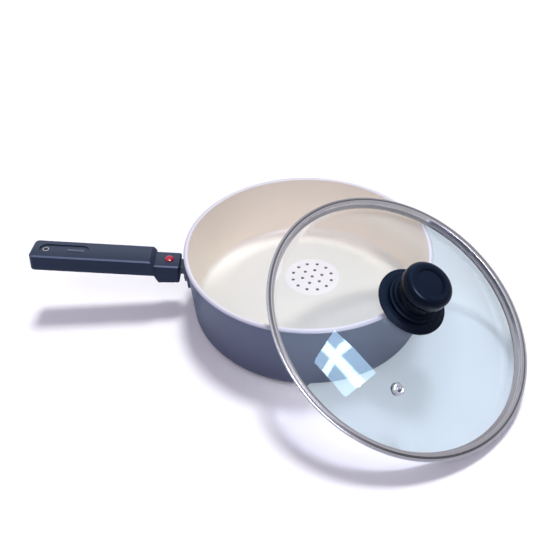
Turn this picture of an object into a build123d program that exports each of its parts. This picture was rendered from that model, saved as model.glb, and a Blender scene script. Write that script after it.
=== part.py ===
from build123d import *

import math
import os

# Saucepan with a detachable handle, and its domed glass lid leaning on the rim.
# Millimetres, +Z up, origin at the centre of the pan's underside, handle along -X.

os.makedirs("parts", exist_ok=True)

# ---------------------------------------------------------------- driving sizes
# Pan
PAN_HEIGHT = 74.0
RIM_R = 120.0
LIP_WIDTH = 4.4
LIP_HEIGHT = 3.4
WALL_T = 2.8
WALL_TAPER = 3.6
FLOOR_T = 3.4
BASE_CORNER_R = 10.0
FLOOR_FILLET_R = 6.0
LIP_ROUND = 1.3

# Induction disc under the pan
DISC_MARGIN = 22.8
DISC_T = 1.8
DISC_PROUD = 0.9
DISC_CLEARANCE = 0.08
GROOVE_INSETS = (8.0, 30.0, 62.0)
GROOVE_WIDTH = 1.6
GROOVE_DEPTH = 0.3
DISC_CHAMFER = 0.5

# Heat indicator dots in the cooking surface: one, six and twelve
DOT_CENTRE = (8.0, 27.0)
DOT_R = 1.75
DOT_DEPTH = 0.3
DOT_GAP = 0.03
DOT_RING_RADII = (10.7, 21.0)
DOT_COUNTS = (6, 12)
DOT_PHASE = 11.0

# Handle bracket welded on the wall
FLANGE_T = 2.4
FLANGE_WIDTH = 48.0
FLANGE_HEIGHT = 24.0
FLANGE_DROP = 25.5
FLANGE_CORNER = 6.0
WELD_GAP = 0.05
BOSS_WIDTH = 24.0
BOSS_HEIGHT = 17.0
BOSS_T = 3.2
BOSS_SINK = 1.0
BOSS_CORNER = 3.0
BOSS_TAPER = -8
TONGUE_ROOT = 2.4
STUD_R = 2.4
STUD_HEAD_R = 4.0
STUD_HEAD_T = 1.5
STUD_REACH = 1.6
STUD_HEAD_STANDOFF = 0.32
STUD_HEAD_TAPER = 22
STUD_SPREAD = 17.5

# Handle, in its own frame: u away from the pan, v towards the viewer's side, w up
HANDLE_SLOPE = 6.24
HANDLE_STANDOFF = 4.0
HANDLE_DROP = 22.4
GRIP_START = 26.6
GRIP_END = 147.0
GRIP_WIDTH = 26.0
GRIP_HALF_T = 9.4
GRIP_WALL = 2.6
GRIP_CORNER = 4.4
HOLLOW_ROOF = 4.5
HOLLOW_FLOOR = -6.0
TOP_CHAMFER = 1.3
BELLY_ROUND = 3.2
NOSE_CHAMFER = 4.2
SHELL_GAP = 0.06

# Front block that carries the latch
BLOCK_START = 1.6
BLOCK_WIDTH = 23.4
BLOCK_TOP = 4.1
BLOCK_BELLY = -15.4
BLOCK_DROP = 1.4
BLOCK_SHOULDER = 4.0
BLOCK_CHAMFER = 1.2
NOSE_ROUND = 2.2
SPIGOT_END = 42.0
SPIGOT_GAP = 0.1

# Tongue of the bracket inside the block
TONGUE_WIDTH = 14.0
TONGUE_TOP = -0.4
TONGUE_BOTTOM = -8.0
TONGUE_END = 24.5
TONGUE_STEP = 6.5
TONGUE_STEP_DROP = 1.6
TONGUE_CHAMFER = 0.8
FORK_START = 10.2
FORK_SLOT = 5.4
SLIDE_FIT = 0.1

# Latch leaf and release button
LEAF_T = 0.7
LEAF_WIDTH = 6.0
LEAF_TOP = -8.85
LEAF_SEAT = -12.6
LEAF_HEEL = 22.8
TOOTH_U = (5.3, 7.9)
TOOTH_TOP = -6.2
NOTCH_GAP = 0.3
POCKET_START = 4.4
RIVET_U = 20.0
RIVET_R = 1.2
RIVET_HEAD_R = 2.2
RIVET_HEAD_T = 0.9
RIVET_HEAD_TAPER = 20
BUTTON_U = 13.0
BUTTON_R = 4.35
BUTTON_FIT = 0.1
BUTTON_RISE = 3.0
BUTTON_DOME = 1.9
BUTTON_FLANGE_R = 5.6
BUTTON_FLANGE_T = 1.0
BUTTON_CEILING = 2.2
BUTTON_STEM_R = 2.1

# Handle screws, hanging eye, recess and inlay
SCREW_HEAD_R = 2.7
SCREW_HEAD_T = 1.7
SCREW_R = 1.5
SCREW_FIT = 0.05
SCREW_SINK = 0.3
CROSS_LENGTH = 2.8
CROSS_WIDTH = 0.8
CROSS_DEPTH = 0.8
PILLAR_R = 4.2
GRIP_SCREW_US = (60.0, 86.0)
SPIGOT_SCREW_U = 36.0
SPIGOT_SCREW_V = 5.5
RECESS_START = 92.0
RECESS_END = 139.5
RECESS_WIDTH = 13.4
RECESS_DEPTH = 1.5
EYE_U = 133.5
EYE_R = 2.0
EYE_WALL = 0.5
EYE_FLANGE_R = 3.1
EYE_FLANGE_T = 0.5
INLAY_U = 104.5
INLAY_LENGTH = 17.0
INLAY_WIDTH = 2.9
INLAY_T = 1.0
INLAY_CHAMFER = 0.3

# Lid: glass dome in a folded stainless band
SKIRT_PLAY = 0.7
SHEET_T = 0.6
BAND_FLANGE_H = 12.6
BAND_REACH = 5.6
BAND_CROWN = 0.5
VALLEY_WIDTH = 1.1
BEAD_R = 1.15
BEAD_SHEET_T = 0.45
GLASS_T = 4.0
GLASS_PLAY = 0.3
GLASS_EDGE_TOP = 4.9
GLASS_FOOT_GAP = 0.1
GLASS_ROUND = 0.9
CHANNEL_REACH = 2.4
LIP_REACH = 1.8
SEAL_GAP = 0.15

# Steam vent
VENT_RADIUS = 73.5
VENT_AZIMUTH = -52.6
VENT_HOLE_R = 2.1
VENT_TUBE_WALL = 0.7
VENT_FLANGE_R = 4.9
VENT_FLANGE_T = 1.9
VENT_ROLL_EDGE = 0.6
VENT_FLARE = 0.8
VENT_WASHER_R = 5.0
VENT_WASHER_T = 1.0

# Knob
KNOB_SKIRT_R = 29.8
KNOB_SKIRT_RISE = 0.8
KNOB_SKIRT_EDGE = 1.4
KNOB_BEVEL_W = 5.4
KNOB_BEVEL_H = 1.5
KNOB_COLLAR_R = 22.4
KNOB_STEP_R = 19.8
KNOB_STEP_H = 3.0
KNOB_NECK_R = 16.8
KNOB_CAP_R = 20.5
KNOB_CAP_H = 17.0
KNOB_CAP_FLARE_H = 6.5
KNOB_HEIGHT = 34.5
KNOB_WALL = 1.6
KNOB_UNDER_RISE = 2.6
KNOB_DISH_R = 13.0
KNOB_DISH_DEPTH = 1.6
KNOB_CAP_ROUND = 3.0
KNOB_DISC_GAP = 0.1
KNOB_DISC_T = 1.4
DISC_CROWN = 0.25
HUB_R = 12.0
HUB_BORE_R = 3.6
INSERT_R = 3.5
INSERT_LENGTH = 14.0
KNOB_SCREW_R = 2.0
KNOB_SCREW_HEAD_R = 5.2
KNOB_SCREW_HEAD_T = 2.2
KNOB_SCREW_HEAD_ROUND = 1.2
KNOB_CROSS_LENGTH = 5.0
KNOB_CROSS_WIDTH = 1.1
KNOB_CROSS_DEPTH = 1.2
GASKET_T = 0.9
WASHER_R = 13.0
WASHER_T = 1.2
GLASS_BORE_R = 4.0

# Lid pose: skirt on the rim at two points, lowest point on the table
REST_INSET = 1.0
REST_HALF_ANGLE = 58.5
LEAN_AZIMUTH = -48.8
REST_RISE = 1.26
REST_LIFT = -0.1
SCREW_CLEARANCE = 0.906

# ---------------------------------------------------------------- derived sizes
MOUTH_R = RIM_R - LIP_WIDTH
WALL_OUTER_TOP_R = MOUTH_R + WALL_T
WALL_OUTER_BASE_R = WALL_OUTER_TOP_R - WALL_TAPER
WALL_INNER_BASE_R = MOUTH_R - WALL_TAPER
BASE_Z = DISC_PROUD
FLOOR_TOP = DISC_T + FLOOR_T
LIP_UNDER = PAN_HEIGHT - LIP_HEIGHT
WALL_RUN = LIP_UNDER - BASE_Z
DISC_R = WALL_OUTER_BASE_R - DISC_MARGIN
FLANGE_Z = PAN_HEIGHT - FLANGE_DROP
HANDLE_ORIGIN = (-RIM_R - HANDLE_STANDOFF, 0, PAN_HEIGHT - HANDLE_DROP)
SKIRT_R = MOUTH_R - SKIRT_PLAY
BAND_OUTER_R = SKIRT_R + BAND_REACH
GLASS_EDGE_R = SKIRT_R - SHEET_T - GLASS_PLAY
REST_R = RIM_R - REST_INSET

half_angle = math.radians(REST_HALF_ANGLE)
chord_at = REST_R * math.cos(half_angle)
reach = math.sqrt(SKIRT_R**2 - (REST_R * math.sin(half_angle)) ** 2)
rest_height = PAN_HEIGHT + REST_RISE
tilt = math.asin(rest_height / (reach + SKIRT_R))
lean = math.radians(LEAN_AZIMUTH)
lid_out = chord_at + reach * math.cos(tilt)
lid_z = rest_height - reach * math.sin(tilt) + REST_LIFT

# The dome is high enough for the knob's screw to pass over the rim it leans on
crest_h = (REST_R - lid_out) * math.sin(tilt) + (PAN_HEIGHT - lid_z) * math.cos(tilt)
KNOB_STACK = GLASS_T + GASKET_T + WASHER_T + KNOB_SCREW_HEAD_T
DOME_TOP = crest_h + SCREW_CLEARANCE + KNOB_STACK
KNOB_SKIRT_H = DOME_TOP + KNOB_SKIRT_RISE
KNOB_TOP_H = DOME_TOP + KNOB_HEIGHT
DOME_RISE = DOME_TOP - GLASS_EDGE_TOP
DOME_R = (GLASS_EDGE_R**2 + DOME_RISE**2) / (2 * DOME_RISE)
DOME_CENTRE_H = DOME_TOP - DOME_R
UNDER_R = DOME_R - GLASS_T


def wall_outer_r(z):
    """Outer radius of the tapered wall at a height."""
    return WALL_OUTER_BASE_R + WALL_TAPER * (z - BASE_Z) / WALL_RUN


def glass_top(r):
    """Height of the glass's upper face at a radius, in the lid's frame."""
    return DOME_CENTRE_H + math.sqrt(DOME_R**2 - r**2)


def glass_under(r):
    """Height of the glass's lower face at a radius, in the lid's frame."""
    return DOME_CENTRE_H + math.sqrt(UNDER_R**2 - r**2)


def dome_drop(r, edge_r, rise):
    """Fall of a spherical cap below its crown at a radius."""
    sphere_r = (edge_r**2 + rise**2) / (2 * rise)
    return sphere_r - math.sqrt(sphere_r**2 - r**2)


# ---------------------------------------------------------------- frames
slope = math.radians(HANDLE_SLOPE)
HANDLE = Plane(
    origin=HANDLE_ORIGIN,
    x_dir=(-math.cos(slope), 0, math.sin(slope)),
    z_dir=(math.sin(slope), 0, math.cos(slope)),
)
SIDE = Plane(origin=HANDLE.origin, x_dir=HANDLE.x_dir, z_dir=-HANDLE.y_dir)


def station(u):
    """Cross-section plane of the handle at a distance from its origin."""
    at = HANDLE.from_local_coords((u, 0, 0))
    return Plane(origin=at, x_dir=HANDLE.y_dir, z_dir=HANDLE.x_dir)


def edges_at_height(w, past_u=None):
    """Edges of the piece being built that lie at a handle height, beyond a station if given."""
    level = edges().filter_by(lambda e: abs(HANDLE.to_local_coords(e.center()).Z - w) < 0.01)
    if past_u is None:
        return level
    return level.filter_by(lambda e: HANDLE.to_local_coords(e.center()).X > past_u)


LID = Plane(
    origin=(lid_out * math.cos(lean), lid_out * math.sin(lean), lid_z),
    x_dir=(
        math.cos(tilt) * math.cos(lean),
        math.cos(tilt) * math.sin(lean),
        -math.sin(tilt),
    ),
    z_dir=(
        math.sin(tilt) * math.cos(lean),
        math.sin(tilt) * math.sin(lean),
        math.cos(tilt),
    ),
)
LID_SECTION = Plane(origin=LID.origin, x_dir=LID.x_dir, z_dir=-LID.y_dir)
LID_AXIS = Axis(LID.origin, LID.z_dir)

vent_turn = math.radians(VENT_AZIMUTH)
vent_lean = math.asin(VENT_RADIUS / DOME_R)
vent_dir = (
    LID.x_dir * (math.cos(vent_turn) * math.sin(vent_lean))
    + LID.y_dir * (math.sin(vent_turn) * math.sin(vent_lean))
    + LID.z_dir * math.cos(vent_lean)
)
vent_at = LID.origin + LID.z_dir * DOME_CENTRE_H + vent_dir * DOME_R
VENT = Plane(origin=vent_at, x_dir=LID.y_dir.cross(vent_dir), z_dir=vent_dir)
VENT_SECTION = Plane(origin=vent_at, x_dir=VENT.x_dir, z_dir=-VENT.y_dir)
VENT_AXIS = Axis(vent_at, vent_dir)

# ---------------------------------------------------------------- pan
stud_angle = math.degrees(math.asin(STUD_SPREAD / wall_outer_r(FLANGE_Z)))
stud_axes = [
    Plane(
        origin=(0, 0, FLANGE_Z),
        x_dir=(0, 0, 1),
        z_dir=(-math.cos(math.radians(a)), math.sin(math.radians(a)), 0),
    )
    for a in (-stud_angle, stud_angle)
]
stud_wall_r = wall_outer_r(FLANGE_Z)

with BuildPart() as pan_body:
    with BuildSketch(Plane.XZ):
        with BuildLine():
            Polyline(
                (0, DISC_T),
                (DISC_R + DISC_CLEARANCE, DISC_T),
                (DISC_R + DISC_CLEARANCE, BASE_Z),
                (WALL_OUTER_BASE_R, BASE_Z),
                (WALL_OUTER_TOP_R, LIP_UNDER),
                (RIM_R, LIP_UNDER + (RIM_R - WALL_OUTER_TOP_R)),
                (RIM_R, PAN_HEIGHT),
                (MOUTH_R, PAN_HEIGHT),
                (WALL_INNER_BASE_R, FLOOR_TOP),
                (0, FLOOR_TOP),
                close=True,
            )
        make_face()
        fillet(vertices().sort_by_distance((WALL_OUTER_BASE_R, BASE_Z))[0], BASE_CORNER_R)
        fillet(vertices().sort_by_distance((WALL_INNER_BASE_R, FLOOR_TOP))[0], FLOOR_FILLET_R)
        fillet(vertices().sort_by_distance((RIM_R, PAN_HEIGHT))[0], LIP_ROUND)
        fillet(vertices().sort_by_distance((MOUTH_R, PAN_HEIGHT))[0], LIP_ROUND)
    revolve(axis=Axis.Z)
    with BuildSketch(Plane.XY.offset(FLOOR_TOP)):
        with Locations(DOT_CENTRE):
            Circle(DOT_R + DOT_GAP)
            for ring_r, count in zip(DOT_RING_RADII, DOT_COUNTS):
                with PolarLocations(ring_r, count, start_angle=DOT_PHASE):
                    Circle(DOT_R + DOT_GAP)
    extrude(amount=-DOT_DEPTH, mode=Mode.SUBTRACT)
    for axis_plane in stud_axes:
        with BuildSketch(axis_plane.offset(stud_wall_r - STUD_REACH)):
            Circle(STUD_R + WELD_GAP)
        extrude(amount=STUD_REACH + FLANGE_T, mode=Mode.SUBTRACT)
pan_body.part.label = "pan_body"
export_step(pan_body.part, "parts/pan_body.step")

with BuildPart() as induction_disc:
    with BuildSketch(Plane.XY):
        Circle(DISC_R)
    extrude(amount=DISC_T)
    chamfer(faces().sort_by(Axis.Z)[0].edges(), DISC_CHAMFER)
    with BuildSketch(Plane.XY):
        for inset in GROOVE_INSETS:
            Circle(DISC_R - inset + GROOVE_WIDTH / 2)
            Circle(DISC_R - inset - GROOVE_WIDTH / 2, mode=Mode.SUBTRACT)
    extrude(amount=GROOVE_DEPTH, mode=Mode.SUBTRACT)
induction_disc.part.label = "induction_disc"
export_step(induction_disc.part, "parts/induction_disc.step")

with BuildPart() as indicator_dots:
    with BuildSketch(Plane.XY.offset(FLOOR_TOP)):
        with Locations(DOT_CENTRE):
            Circle(DOT_R)
            for ring_r, count in zip(DOT_RING_RADII, DOT_COUNTS):
                with PolarLocations(ring_r, count, start_angle=DOT_PHASE):
                    Circle(DOT_R)
    extrude(amount=-DOT_DEPTH)
indicator_dots.part.label = "indicator_dots"
export_step(indicator_dots.part, "parts/indicator_dots.step")

# ---------------------------------------------------------------- bracket
flange_low = FLANGE_Z - FLANGE_HEIGHT
flange_high = FLANGE_Z + FLANGE_HEIGHT
boss_outer_x = -(wall_outer_r(FLANGE_Z) + WELD_GAP + FLANGE_T + BOSS_T - BOSS_SINK)
tongue_root = HANDLE.to_local_coords(Vector(boss_outer_x, 0, FLANGE_Z)).X - TONGUE_ROOT
tongue_mid = (TONGUE_TOP + TONGUE_BOTTOM) / 2
tongue_height = TONGUE_TOP - TONGUE_BOTTOM
notch_start = TOOTH_U[0] - 2 * NOTCH_GAP
notch_end = TOOTH_U[1] + SLIDE_FIT

with BuildPart() as bracket_flange:
    with BuildSketch(Plane.XZ):
        with BuildLine():
            Polyline(
                (wall_outer_r(flange_low) + WELD_GAP, flange_low),
                (wall_outer_r(flange_low) + WELD_GAP + FLANGE_T, flange_low),
                (wall_outer_r(flange_high) + WELD_GAP + FLANGE_T, flange_high),
                (wall_outer_r(flange_high) + WELD_GAP, flange_high),
                close=True,
            )
        make_face()
    revolve(axis=Axis.Z)
    with BuildSketch(Plane.YZ.offset(-RIM_R - 10)):
        with Locations((0, FLANGE_Z)):
            RectangleRounded(FLANGE_WIDTH, FLANGE_HEIGHT, FLANGE_CORNER)
    extrude(amount=40, mode=Mode.INTERSECT)
    with BuildSketch(Plane.YZ.offset(boss_outer_x)):
        with Locations((0, FLANGE_Z)):
            RectangleRounded(BOSS_WIDTH, BOSS_HEIGHT, BOSS_CORNER)
    extrude(amount=BOSS_T, taper=BOSS_TAPER)
    with BuildSketch(station(tongue_root)):
        with Locations((0, tongue_mid)):
            Rectangle(TONGUE_WIDTH + 2 * WELD_GAP, tongue_height + 2 * WELD_GAP)
    extrude(amount=10, mode=Mode.SUBTRACT)
    for axis_plane in stud_axes:
        with BuildSketch(axis_plane.offset(stud_wall_r - 2)):
            Circle(STUD_R + WELD_GAP)
        extrude(amount=10, mode=Mode.SUBTRACT)
bracket_flange.part.label = "bracket_flange"
export_step(bracket_flange.part, "parts/bracket_flange.step")

with BuildPart() as bracket_tongue:
    with BuildSketch(station(tongue_root)):
        with Locations((0, tongue_mid)):
            Rectangle(TONGUE_WIDTH, tongue_height)
    extrude(amount=TONGUE_END - tongue_root)
    chamfer(faces().sort_by(Axis.X)[0].edges(), TONGUE_CHAMFER)
    with BuildSketch(SIDE):
        with BuildLine():
            Polyline(
                (TONGUE_STEP, TONGUE_TOP + 1),
                (TONGUE_STEP, TONGUE_TOP - TONGUE_STEP_DROP),
                (TONGUE_END + 1, TONGUE_TOP - TONGUE_STEP_DROP),
                (TONGUE_END + 1, TONGUE_TOP + 1),
                close=True,
            )
        make_face()
    extrude(amount=TONGUE_WIDTH, both=True, mode=Mode.SUBTRACT)
    with BuildSketch(HANDLE.offset(TONGUE_BOTTOM)):
        with Locations(((FORK_START + TONGUE_END + 1) / 2, 0)):
            Rectangle(TONGUE_END + 1 - FORK_START, FORK_SLOT)
        with Locations((FORK_START, 0)):
            Circle(FORK_SLOT / 2)
    extrude(amount=tongue_height, mode=Mode.SUBTRACT)
    with BuildSketch(HANDLE.offset(TONGUE_BOTTOM)):
        with Locations(((notch_start + notch_end) / 2, 0)):
            Rectangle(notch_end - notch_start, LEAF_WIDTH + 2 * NOTCH_GAP)
    extrude(amount=TOOTH_TOP - TONGUE_BOTTOM + NOTCH_GAP, mode=Mode.SUBTRACT)
bracket_tongue.part.label = "bracket_tongue"
export_step(bracket_tongue.part, "parts/bracket_tongue.step")

with BuildPart() as bracket_studs:
    for axis_plane in stud_axes:
        with BuildSketch(axis_plane.offset(stud_wall_r - STUD_REACH)):
            Circle(STUD_R)
        extrude(amount=STUD_REACH + WELD_GAP + FLANGE_T + STUD_HEAD_STANDOFF + 0.2)
        with BuildSketch(axis_plane.offset(stud_wall_r + WELD_GAP + FLANGE_T + STUD_HEAD_STANDOFF)):
            Circle(STUD_HEAD_R)
        extrude(amount=STUD_HEAD_T, taper=STUD_HEAD_TAPER)
bracket_studs.part.label = "bracket_studs"
export_step(bracket_studs.part, "parts/bracket_studs.step")

# ---------------------------------------------------------------- handle shells
grip_length = GRIP_END - GRIP_START
grip_mid = (GRIP_START + GRIP_END) / 2
hollow_width = GRIP_WIDTH - 2 * GRIP_WALL
hollow_start = GRIP_START - 2
hollow_end = GRIP_END - GRIP_WALL

with BuildPart() as handle_upper_shell:
    with BuildSketch(HANDLE.offset(SHELL_GAP / 2)):
        with Locations((grip_mid, 0)):
            Rectangle(grip_length, GRIP_WIDTH)
        fillet(vertices().group_by(Axis.X)[-1], GRIP_CORNER)
    extrude(amount=GRIP_HALF_T - SHELL_GAP / 2)
    chamfer(edges_at_height(GRIP_HALF_T, GRIP_START + 1), TOP_CHAMFER)
    with BuildSketch(SIDE):
        with BuildLine():
            Polyline(
                (GRIP_START - 1, BLOCK_TOP + 0.4),
                (GRIP_START, BLOCK_TOP + 0.4),
                (GRIP_START + NOSE_CHAMFER, GRIP_HALF_T + 0.01),
                (GRIP_START - 1, GRIP_HALF_T + 0.01),
                close=True,
            )
        make_face()
    extrude(amount=GRIP_WIDTH, both=True, mode=Mode.SUBTRACT)
    with BuildSketch(HANDLE):
        with Locations(((hollow_start + hollow_end) / 2, 0)):
            Rectangle(hollow_end - hollow_start, hollow_width)
        fillet(vertices().group_by(Axis.X)[-1], GRIP_CORNER - GRIP_WALL)
    extrude(amount=HOLLOW_ROOF, mode=Mode.SUBTRACT)
    with BuildSketch(HANDLE.offset(SHELL_GAP / 2)):
        with Locations([(u, 0) for u in GRIP_SCREW_US] + [(EYE_U, 0)]):
            Circle(PILLAR_R)
    extrude(amount=HOLLOW_ROOF + 0.2)
    with BuildSketch(HANDLE):
        with Locations([(u, 0) for u in GRIP_SCREW_US]):
            Circle(SCREW_R + SCREW_FIT)
    extrude(amount=4.6, mode=Mode.SUBTRACT)
    with BuildSketch(HANDLE.offset(GRIP_HALF_T - RECESS_DEPTH)):
        with Locations(((RECESS_START + RECESS_END) / 2, 0)):
            SlotOverall(RECESS_END - RECESS_START, RECESS_WIDTH)
    extrude(amount=RECESS_DEPTH + 1, mode=Mode.SUBTRACT)
    with BuildSketch(HANDLE):
        with Locations((EYE_U, 0)):
            Circle(EYE_R + EYE_WALL + SCREW_FIT)
    extrude(amount=GRIP_HALF_T, mode=Mode.SUBTRACT)
handle_upper_shell.part.label = "handle_upper_shell"
export_step(handle_upper_shell.part, "parts/handle_upper_shell.step")

with BuildPart() as handle_lower_shell:
    with BuildSketch(HANDLE.offset(-SHELL_GAP / 2)):
        with Locations((grip_mid, 0)):
            Rectangle(grip_length, GRIP_WIDTH)
        fillet(vertices().group_by(Axis.X)[-1], GRIP_CORNER)
    extrude(amount=-(GRIP_HALF_T - SHELL_GAP / 2))
    fillet(edges_at_height(-GRIP_HALF_T, GRIP_START + 1), BELLY_ROUND)
    with BuildSketch(HANDLE):
        with Locations(((hollow_start + hollow_end) / 2, 0)):
            Rectangle(hollow_end - hollow_start, hollow_width)
        fillet(vertices().group_by(Axis.X)[-1], GRIP_CORNER - GRIP_WALL)
    extrude(amount=HOLLOW_FLOOR, mode=Mode.SUBTRACT)
    with BuildSketch(HANDLE.offset(-SHELL_GAP / 2)):
        with Locations([(u, 0) for u in GRIP_SCREW_US] + [(EYE_U, 0)]):
            Circle(PILLAR_R)
    extrude(amount=HOLLOW_FLOOR - 0.2)
    with BuildSketch(HANDLE.offset(-GRIP_HALF_T)):
        with Locations([(u, 0) for u in GRIP_SCREW_US]):
            Circle(SCREW_R + SCREW_FIT)
        with Locations((EYE_U, 0)):
            Circle(EYE_R + EYE_WALL + SCREW_FIT)
        with Locations([(SPIGOT_SCREW_U, v) for v in (-SPIGOT_SCREW_V, SPIGOT_SCREW_V)]):
            Circle(SCREW_R + SCREW_FIT)
    extrude(amount=GRIP_HALF_T, mode=Mode.SUBTRACT)
    with BuildSketch(HANDLE.offset(-GRIP_HALF_T)):
        with Locations([(u, 0) for u in GRIP_SCREW_US]):
            Circle(SCREW_HEAD_R + SCREW_FIT)
        with Locations([(SPIGOT_SCREW_U, v) for v in (-SPIGOT_SCREW_V, SPIGOT_SCREW_V)]):
            Circle(SCREW_HEAD_R + SCREW_FIT)
    extrude(amount=SCREW_HEAD_T, mode=Mode.SUBTRACT)
handle_lower_shell.part.label = "handle_lower_shell"
export_step(handle_lower_shell.part, "parts/handle_lower_shell.step")

# ---------------------------------------------------------------- latch block
block_end = GRIP_START - SHELL_GAP
socket_half = TONGUE_WIDTH / 2 + SLIDE_FIT
socket_top = TONGUE_TOP + SLIDE_FIT
socket_bottom = TONGUE_BOTTOM - SLIDE_FIT
spigot_half = hollow_width / 2 - SPIGOT_GAP
spigot_top = HOLLOW_ROOF - SPIGOT_GAP
spigot_bottom = HOLLOW_FLOOR + SPIGOT_GAP
tooth_depth = TOOTH_TOP - LEAF_TOP

with BuildPart() as latch_housing:
    with BuildSketch(SIDE):
        with BuildLine():
            Polyline(
                (BLOCK_START, BLOCK_TOP),
                (block_end, BLOCK_TOP),
                (block_end, -GRIP_HALF_T),
                (block_end - BLOCK_SHOULDER, BLOCK_BELLY - BLOCK_DROP),
                (BLOCK_START, BLOCK_BELLY),
                close=True,
            )
        make_face()
    extrude(amount=BLOCK_WIDTH / 2, both=True)
    nose_corners = edges().filter_by(
        lambda e: abs(HANDLE.to_local_coords(e.center()).X - BLOCK_START) < 0.01
        and abs(HANDLE.to_local_coords(e.center()).Y) > 1
    )
    fillet(nose_corners, NOSE_ROUND)
    block_rim = edges_at_height(BLOCK_TOP).filter_by(
        lambda e: HANDLE.to_local_coords(e.center()).X < block_end - 1
    )
    chamfer(block_rim, BLOCK_CHAMFER)
    with BuildSketch(station(block_end - 1)):
        with Locations((0, (spigot_top + spigot_bottom) / 2)):
            Rectangle(2 * spigot_half, spigot_top - spigot_bottom)
    extrude(amount=SPIGOT_END - block_end + 1)
    with BuildSketch(station(0)):
        with Locations((0, (socket_top + socket_bottom) / 2)):
            Rectangle(2 * socket_half, socket_top - socket_bottom)
    extrude(amount=TONGUE_END + 0.4, mode=Mode.SUBTRACT)
    with BuildSketch(HANDLE.offset(socket_top - 1)):
        with Locations((BUTTON_U, 0)):
            Circle(BUTTON_FLANGE_R + 0.3)
    extrude(amount=BUTTON_CEILING - socket_top + 1, mode=Mode.SUBTRACT)
    with BuildSketch(HANDLE.offset(socket_top)):
        with Locations((BUTTON_U, 0)):
            Circle(BUTTON_R + BUTTON_FIT)
    extrude(amount=BLOCK_TOP - socket_top + 1, mode=Mode.SUBTRACT)
    with BuildSketch(HANDLE.offset(LEAF_SEAT)):
        with Locations(((POCKET_START + LEAF_HEEL + 0.2) / 2, 0)):
            Rectangle(LEAF_HEEL + 0.2 - POCKET_START, LEAF_WIDTH + 1.6)
    extrude(amount=socket_bottom - LEAF_SEAT + 1, mode=Mode.SUBTRACT)
    with BuildSketch(HANDLE.offset(BLOCK_BELLY - BLOCK_DROP - 1)):
        with Locations((RIVET_U, 0)):
            Circle(RIVET_R + SCREW_FIT)
    extrude(amount=8, mode=Mode.SUBTRACT)
    with BuildSketch(HANDLE.offset(-GRIP_HALF_T)):
        with Locations([(SPIGOT_SCREW_U, v) for v in (-SPIGOT_SCREW_V, SPIGOT_SCREW_V)]):
            Circle(SCREW_R + SCREW_FIT)
    extrude(amount=GRIP_HALF_T + 1.2, mode=Mode.SUBTRACT)
latch_housing.part.label = "latch_housing"
export_step(latch_housing.part, "parts/latch_housing.step")

with BuildPart() as latch_leaf:
    with BuildSketch(SIDE):
        with BuildLine():
            Polyline(
                (LEAF_HEEL, LEAF_SEAT),
                (LEAF_HEEL, LEAF_SEAT + LEAF_T),
                (RIVET_U - 2.8, LEAF_SEAT + LEAF_T),
                (RIVET_U - 5.2, LEAF_TOP),
                (TOOTH_U[1], LEAF_TOP),
                (TOOTH_U[1], TOOTH_TOP),
                (TOOTH_U[1] - 0.8, TOOTH_TOP),
                (TOOTH_U[0], LEAF_TOP - 0.1),
                (TOOTH_U[0], LEAF_TOP - LEAF_T),
                (RIVET_U - 5.6, LEAF_TOP - LEAF_T),
                (RIVET_U - 3.2, LEAF_SEAT),
                close=True,
            )
        make_face()
    extrude(amount=LEAF_WIDTH / 2, both=True)
    with BuildSketch(HANDLE.offset(LEAF_SEAT)):
        with Locations((RIVET_U, 0)):
            Circle(RIVET_R + SCREW_FIT)
    extrude(amount=LEAF_T, mode=Mode.SUBTRACT)
latch_leaf.part.label = "latch_leaf"
export_step(latch_leaf.part, "parts/latch_leaf.step")

rivet_share = (RIVET_U - BLOCK_START) / (block_end - BLOCK_SHOULDER - BLOCK_START)
rivet_foot = BLOCK_BELLY - BLOCK_DROP * rivet_share
with BuildPart() as leaf_rivet:
    with BuildSketch(HANDLE.offset(rivet_foot + 0.2)):
        with Locations((RIVET_U, 0)):
            Circle(RIVET_R)
    extrude(amount=LEAF_SEAT + LEAF_T - rivet_foot)
    with BuildSketch(HANDLE.offset(LEAF_SEAT + LEAF_T)):
        with Locations((RIVET_U, 0)):
            Circle(RIVET_HEAD_R)
    extrude(amount=RIVET_HEAD_T, taper=RIVET_HEAD_TAPER)
leaf_rivet.part.label = "leaf_rivet"
export_step(leaf_rivet.part, "parts/leaf_rivet.step")

button_at = HANDLE.from_local_coords((BUTTON_U, 0, 0))
button_top = BLOCK_TOP + BUTTON_RISE
button_bend = button_top - dome_drop(BUTTON_R / 2, BUTTON_R, BUTTON_DOME)
with BuildPart() as release_button:
    with BuildSketch(Plane(origin=button_at, x_dir=HANDLE.x_dir, z_dir=SIDE.z_dir)):
        with BuildLine():
            rim_low = (BUTTON_R, BUTTON_CEILING - 0.05)
            rim_high = (BUTTON_R, button_top - BUTTON_DOME)
            crown = (0, button_top)
            Polyline(
                crown,
                (0, LEAF_TOP + 0.25),
                (BUTTON_STEM_R, LEAF_TOP + 0.25),
                (BUTTON_STEM_R, BUTTON_CEILING - 0.05 - BUTTON_FLANGE_T),
                (BUTTON_FLANGE_R, BUTTON_CEILING - 0.05 - BUTTON_FLANGE_T),
                (BUTTON_FLANGE_R, BUTTON_CEILING - 0.05),
                rim_low,
                rim_high,
            )
            ThreePointArc(rim_high, (BUTTON_R / 2, button_bend), crown)
        make_face()
    revolve(axis=Axis(button_at, HANDLE.z_dir))
release_button.part.label = "release_button"
export_step(release_button.part, "parts/release_button.step")

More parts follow.
